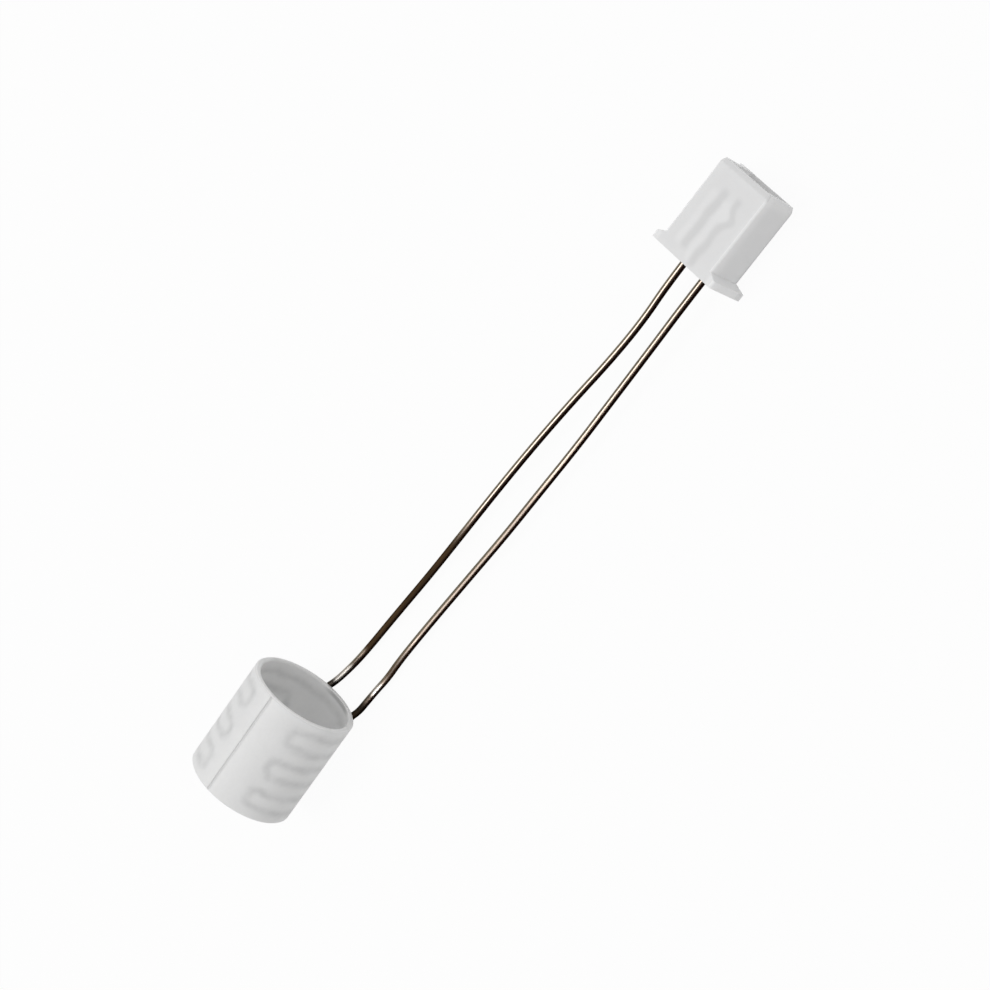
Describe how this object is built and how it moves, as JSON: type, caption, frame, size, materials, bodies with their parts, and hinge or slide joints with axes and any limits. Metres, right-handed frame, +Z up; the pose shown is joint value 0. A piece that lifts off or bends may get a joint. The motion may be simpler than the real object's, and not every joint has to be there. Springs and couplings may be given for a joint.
{
  "type": "ceramic heating tube",
  "caption": "Thin-walled ceramic tube with a heating track sealed in its wall, stiff wire leads brazed along its side and a small crimp plug on their far end.",
  "frame": {"origin": "under the middle of the tube, on the surface that the part rests on", "axes": "+X along the tube's axis, out of its mouth and towards the plug; +Z up, with the leads under the tube"},
  "size_m": [0.0702, 0.014, 0.0106],
  "materials": {
    "alumina": "smooth fired white alumina, slightly translucent",
    "track_metal": "fired metal ink sealed inside the wall",
    "pad_metal": "plated, satin",
    "braze_metal": "bright silver braze, smooth as it flowed",
    "lead_metal": "glossy dark drawn wire",
    "contact_metal": "tin-plated strip, satin",
    "nylon": "milky natural nylon, slightly translucent, semi-gloss"
  },
  "bodies": {
    "root": {"ceramic_tube": "alumina", "heating_track": "track_metal", "terminal_pad_1": "pad_metal", "terminal_pad_2": "pad_metal", "braze_1": "braze_metal", "braze_2": "braze_metal", "lead_wire_1": "lead_metal", "lead_wire_2": "lead_metal", "crimp_contact_1": "contact_metal", "crimp_contact_2": "contact_metal", "plug_housing": "nylon"}
  },
  "joints": []
}
